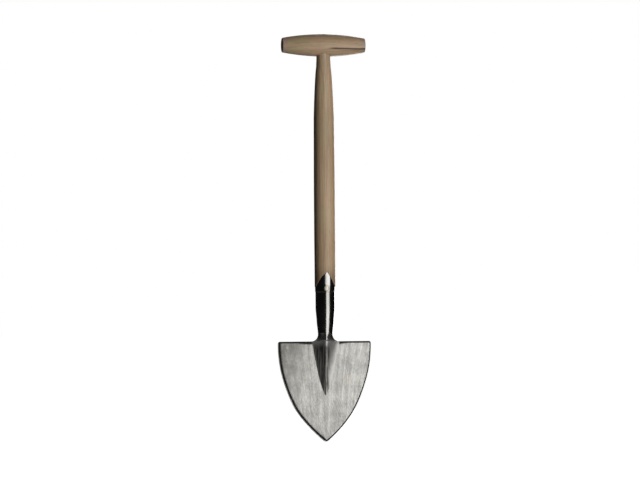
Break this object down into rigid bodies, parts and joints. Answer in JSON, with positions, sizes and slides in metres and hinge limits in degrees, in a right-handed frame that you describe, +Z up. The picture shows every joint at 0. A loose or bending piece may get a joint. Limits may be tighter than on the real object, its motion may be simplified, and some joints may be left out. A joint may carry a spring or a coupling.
{
  "type": "garden spade",
  "caption": "Short garden spade with a pointed, gently dished steel blade, a polished socket with tongues, and a turned wooden tee handle.",
  "frame": {"origin": "the tip of the blade on the shaft's axis, which is the middle of the bottom of the whole object's box", "axes": "+Z up the shaft from the tip to the grip, +X to the right along the grip and treads, -Y towards the ribbed front of the blade"},
  "size_m": [0.162, 0.0384, 0.7],
  "materials": {
    "blade_steel": "ground lengthwise, satin, lightly mottled",
    "socket_steel": "polished to a dark mirror",
    "rivet_steel": "hand dressed, slightly yellowed",
    "shaft_ash": "oiled ash, grain along the shaft",
    "grip_ash": "oiled ash, grain along the grip, one dark streak",
    "wedge_wood": "dark hardwood, cut flush",
    "pin_steel": "punched just below the wood"
  },
  "bodies": {
    "root": {"blade": "blade_steel", "socket": "socket_steel", "socket_rivet": "rivet_steel", "shaft": "shaft_ash", "grip": "grip_ash", "tenon_wedge": "wedge_wood", "grip_pin": "pin_steel"}
  },
  "joints": []
}
